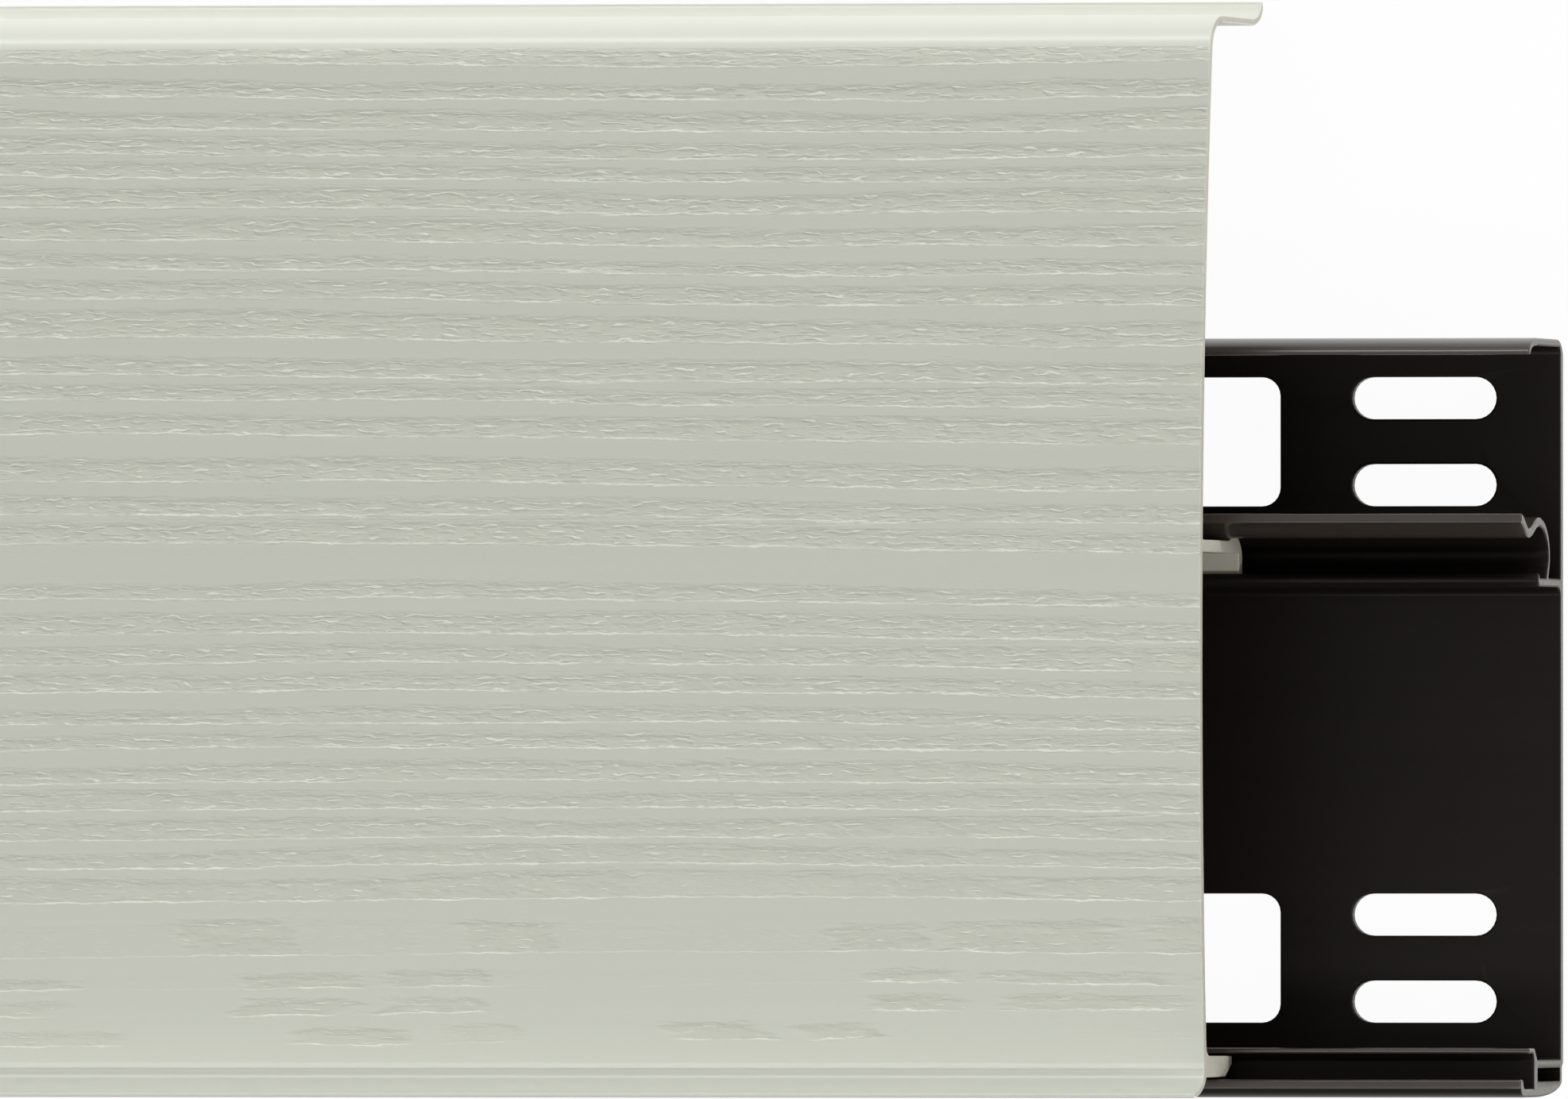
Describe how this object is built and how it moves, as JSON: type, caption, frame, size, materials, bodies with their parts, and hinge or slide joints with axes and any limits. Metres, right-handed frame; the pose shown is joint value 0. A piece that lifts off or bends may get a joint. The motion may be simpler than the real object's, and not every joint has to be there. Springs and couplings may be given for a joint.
{
  "type": "skirting board",
  "caption": "Clip-on skirting board: a wood-grain embossed cover strip clipped over a slotted mounting strip, with cable channels behind it.",
  "frame": {"origin": "centre of the bounding box in X and Y, on the plane of the wall face, which lies on the floor in storage", "axes": "+X along the board towards the end where the mounting strip shows, +Y up the wall, +Z out from the wall through the cover's face"},
  "size_m": [2.5, 0.0706, 0.026],
  "materials": {
    "cover": "satin",
    "strip": "satin"
  },
  "bodies": {
    "root": {"cover_strip": "cover", "mounting_base": "strip"}
  },
  "joints": []
}
